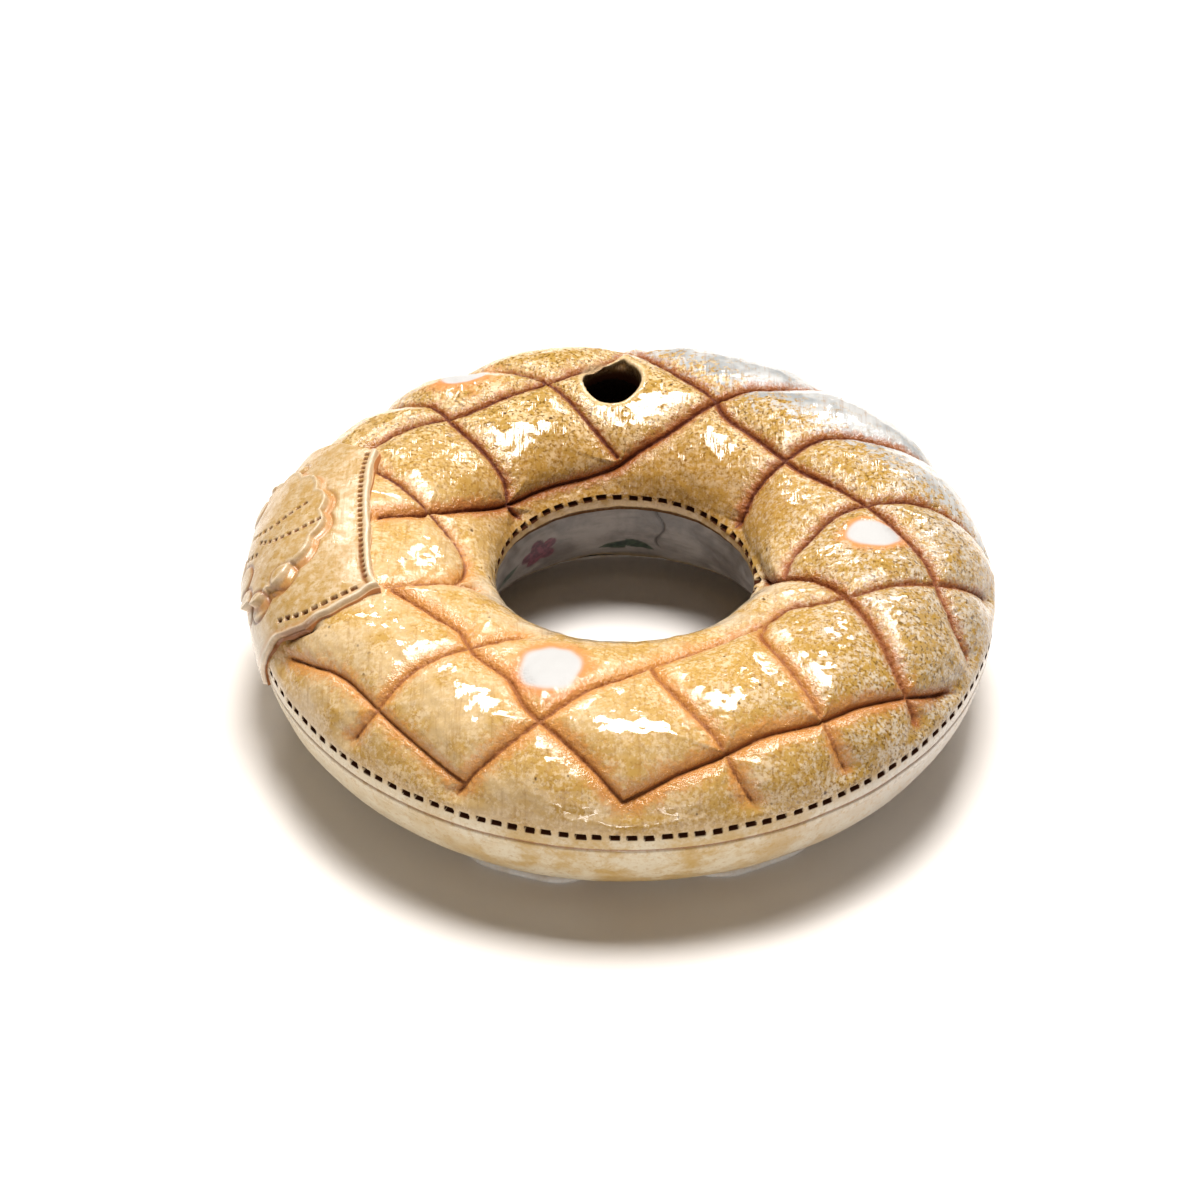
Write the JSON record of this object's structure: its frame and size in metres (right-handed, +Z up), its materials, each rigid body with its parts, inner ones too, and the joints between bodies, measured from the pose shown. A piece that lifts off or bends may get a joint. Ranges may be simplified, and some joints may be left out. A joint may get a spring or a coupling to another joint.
{
  "type": "ceramic doughnut",
  "caption": "Hollow stoneware doughnut with a diamond-quilted, stitched top, a round vent hole, an applied patch and a lobed foot.",
  "frame": {"origin": "centre of the doughnut's hole, on the surface that the foot stands on", "axes": "+Z up through the doughnut's hole; the vent hole is at the back, near +Y, and the patch is on the left, at -X"},
  "size_m": [0.1521, 0.15, 0.0434],
  "materials": {
    "salt_glaze": "ochre salt-glazed stoneware, orange-peel gloss, red-brown in the seams"
  },
  "bodies": {
    "root": {"ring": "salt_glaze"}
  },
  "joints": []
}
